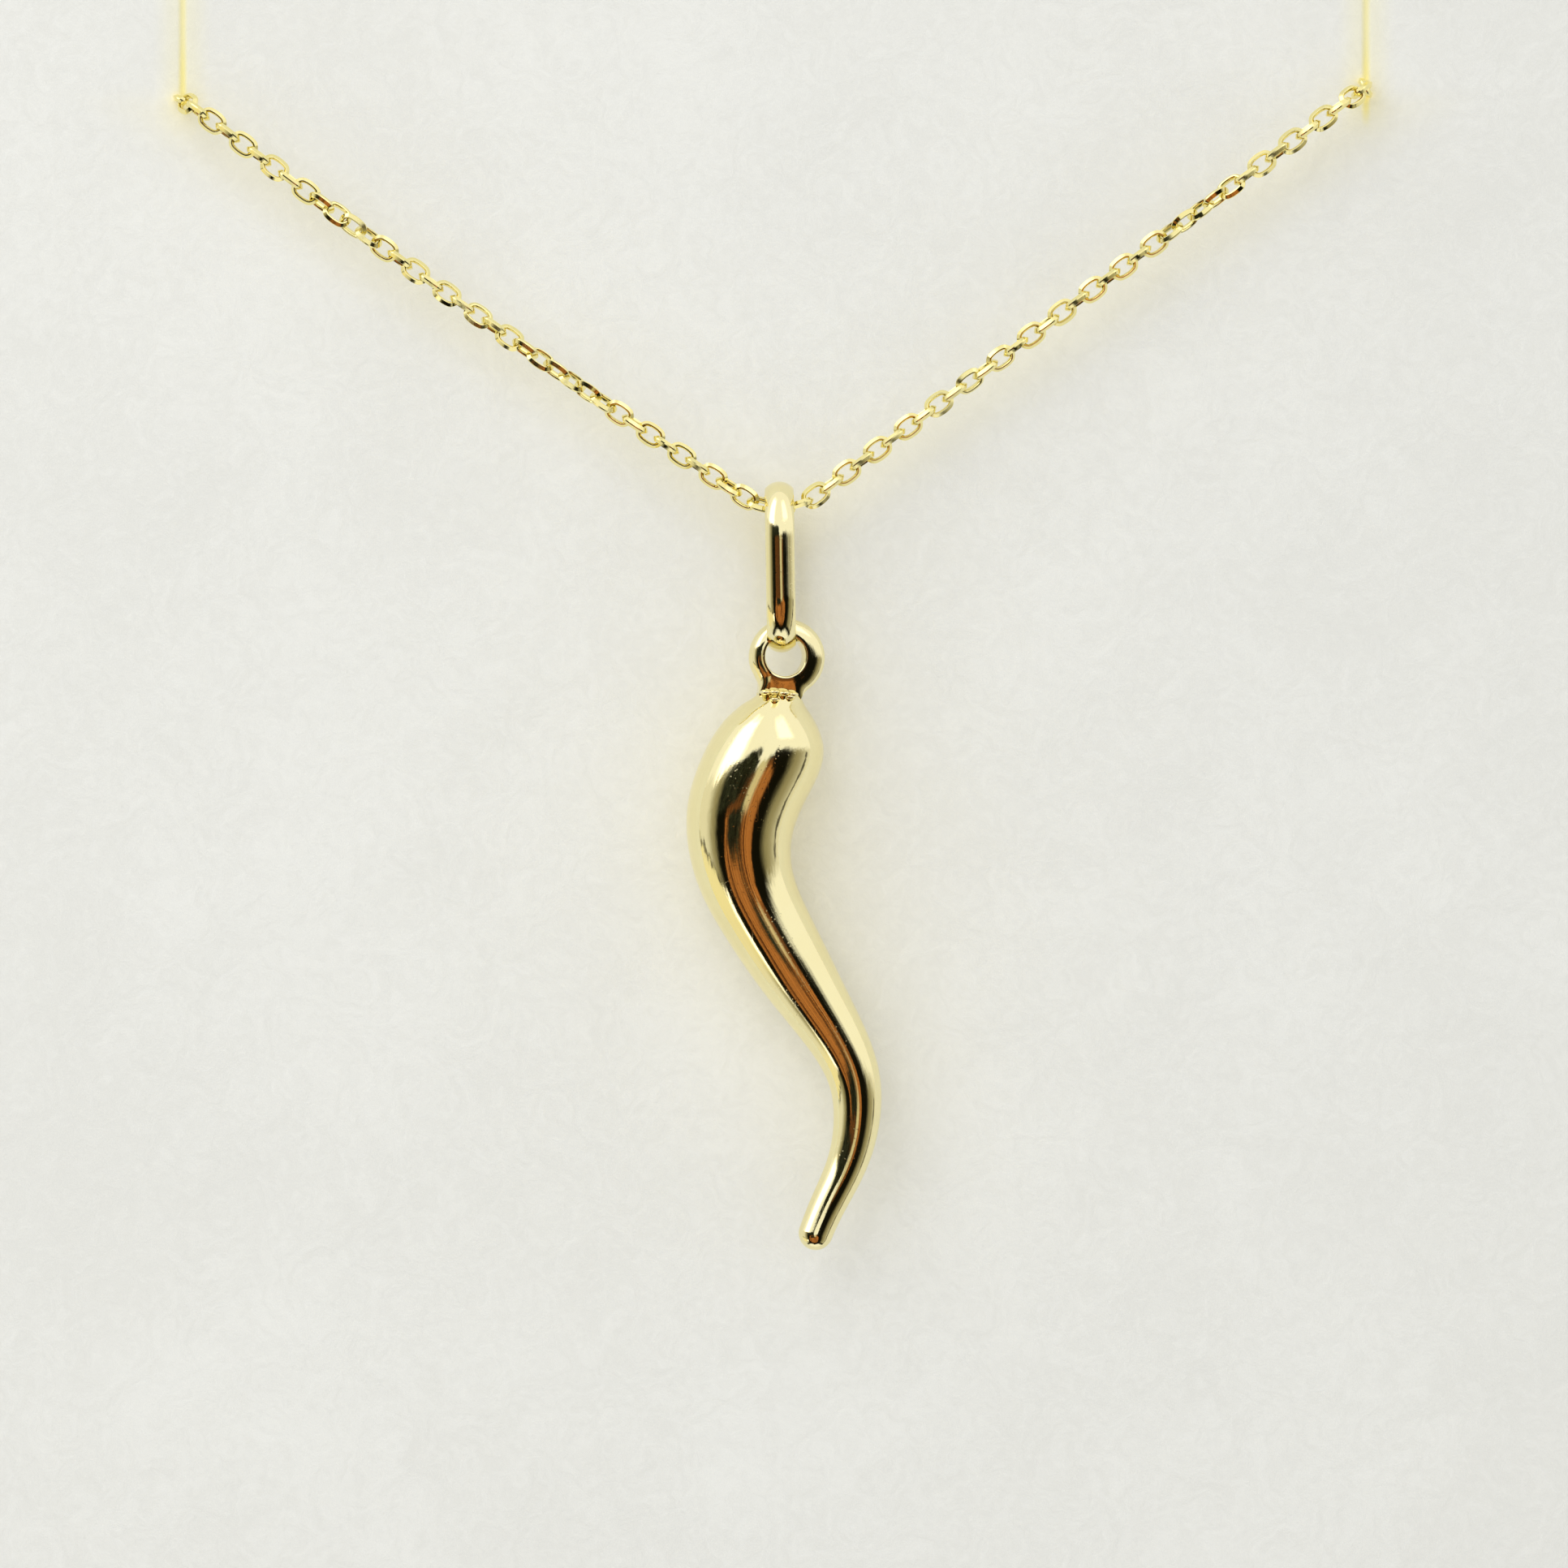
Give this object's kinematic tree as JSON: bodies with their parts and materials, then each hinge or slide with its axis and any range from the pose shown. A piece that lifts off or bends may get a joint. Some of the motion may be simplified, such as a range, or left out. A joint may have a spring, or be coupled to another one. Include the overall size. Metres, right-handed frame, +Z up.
{
  "type": "horn pendant necklace on display card",
  "caption": "Twisted horn pendant with a ring loop on an oblong bail, on a fine diamond-cut cable chain hung through the slits of a white flocked display card.",
  "frame": {"origin": "middle of the card's top edge, on its front face, where the card is held up", "axes": "+Z up, +X to the right as the card is seen from the front, +Y from the front face into the card"},
  "size_m": [0.105, 0.01, 0.18],
  "materials": {
    "gold": "polished yellow gold",
    "flock": "white velvet flock on board"
  },
  "bodies": {
    "card": {"card": "flock", "chain_front": "gold", "chain_back": "gold", "clasp": "gold"},
    "bail": {"bail": "gold"},
    "horn": {"horn": "gold"}
  },
  "joints": [
    {"name": "bail_swing", "type": "hinge", "parent": "card", "child": "bail", "pos_m": [0.0003, -0.00285, -0.033], "axis": [-1, 0, 0], "range_deg": [0, 85]},
    {"name": "horn_swing", "type": "hinge", "parent": "bail", "child": "horn", "pos_m": [0.0003, -0.00285, -0.04019], "axis": [0, 1, 0], "range_deg": [-70, 70]}
  ]
}
